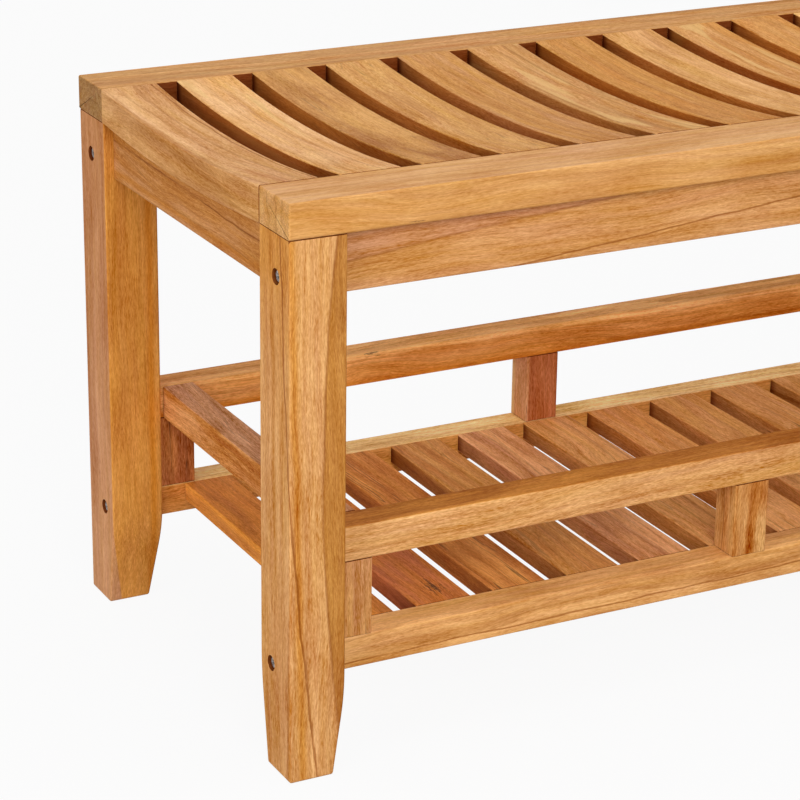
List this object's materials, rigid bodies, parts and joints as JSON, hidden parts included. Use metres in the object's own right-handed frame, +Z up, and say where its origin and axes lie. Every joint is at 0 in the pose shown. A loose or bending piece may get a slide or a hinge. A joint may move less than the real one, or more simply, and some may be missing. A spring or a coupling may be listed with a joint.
{
  "type": "shower bench",
  "caption": "Free-standing teak shower bench with a dished slatted seat, square tapered legs and a slatted shelf with a raised rim between the legs.",
  "frame": {"origin": "on the floor, under the middle of the bench", "axes": "+X along the bench, +Y from the front to the back, +Z up"},
  "size_m": [0.854, 0.406, 0.457],
  "materials": {
    "teak_leg": "planed and oiled, satin",
    "teak_seat": "planed and oiled, satin",
    "teak_apron": "planed and oiled, satin",
    "teak_rail": "planed and oiled, satin",
    "teak_shelf": "planed and oiled, satin",
    "dowel_wood": "turned, unfinished",
    "screw_steel": "plain stainless, cross recess"
  },
  "bodies": {
    "root": {"leg_front_left": "teak_leg", "leg_front_right": "teak_leg", "leg_back_left": "teak_leg", "leg_back_right": "teak_leg", "seat_rail_front": "teak_seat", "seat_rail_back": "teak_seat", "seat_end_slat_left": "teak_seat", "seat_end_slat_right": "teak_seat", "seat_slat_01": "teak_seat", "seat_slat_02": "teak_seat", "seat_slat_03": "teak_seat", "seat_slat_04": "teak_seat", "seat_slat_05": "teak_seat", "seat_slat_06": "teak_seat", "seat_slat_07": "teak_seat", "seat_slat_08": "teak_seat", "seat_slat_09": "teak_seat", "seat_slat_10": "teak_seat", "seat_slat_11": "teak_seat", "apron_front": "teak_apron", "apron_back": "teak_apron", "apron_left": "teak_apron", "apron_right": "teak_apron", "shelf_rail_front": "teak_rail", "shelf_rail_back": "teak_rail", "rim_rail_front": "teak_rail", "rim_rail_back": "teak_rail", "rim_rail_left": "teak_rail", "rim_rail_right": "teak_rail", "shelf_end_slat_left": "teak_shelf", "shelf_end_slat_right": "teak_shelf", "shelf_slat_01": "teak_shelf", "shelf_slat_02": "teak_shelf", "shelf_slat_03": "teak_shelf", "shelf_slat_04": "teak_shelf", "shelf_slat_05": "teak_shelf", "shelf_slat_06": "teak_shelf", "shelf_slat_07": "teak_shelf", "shelf_slat_08": "teak_shelf", "shelf_slat_09": "teak_shelf", "post_front_left": "teak_shelf", "post_front_mid": "teak_shelf", "post_front_right": "teak_shelf", "post_back_left": "teak_shelf", "post_back_mid": "teak_shelf", "post_back_right": "teak_shelf", "leg_dowels": "dowel_wood", "post_dowels": "dowel_wood", "apron_screws": "screw_steel", "shelf_screws": "screw_steel"}
  },
  "joints": []
}
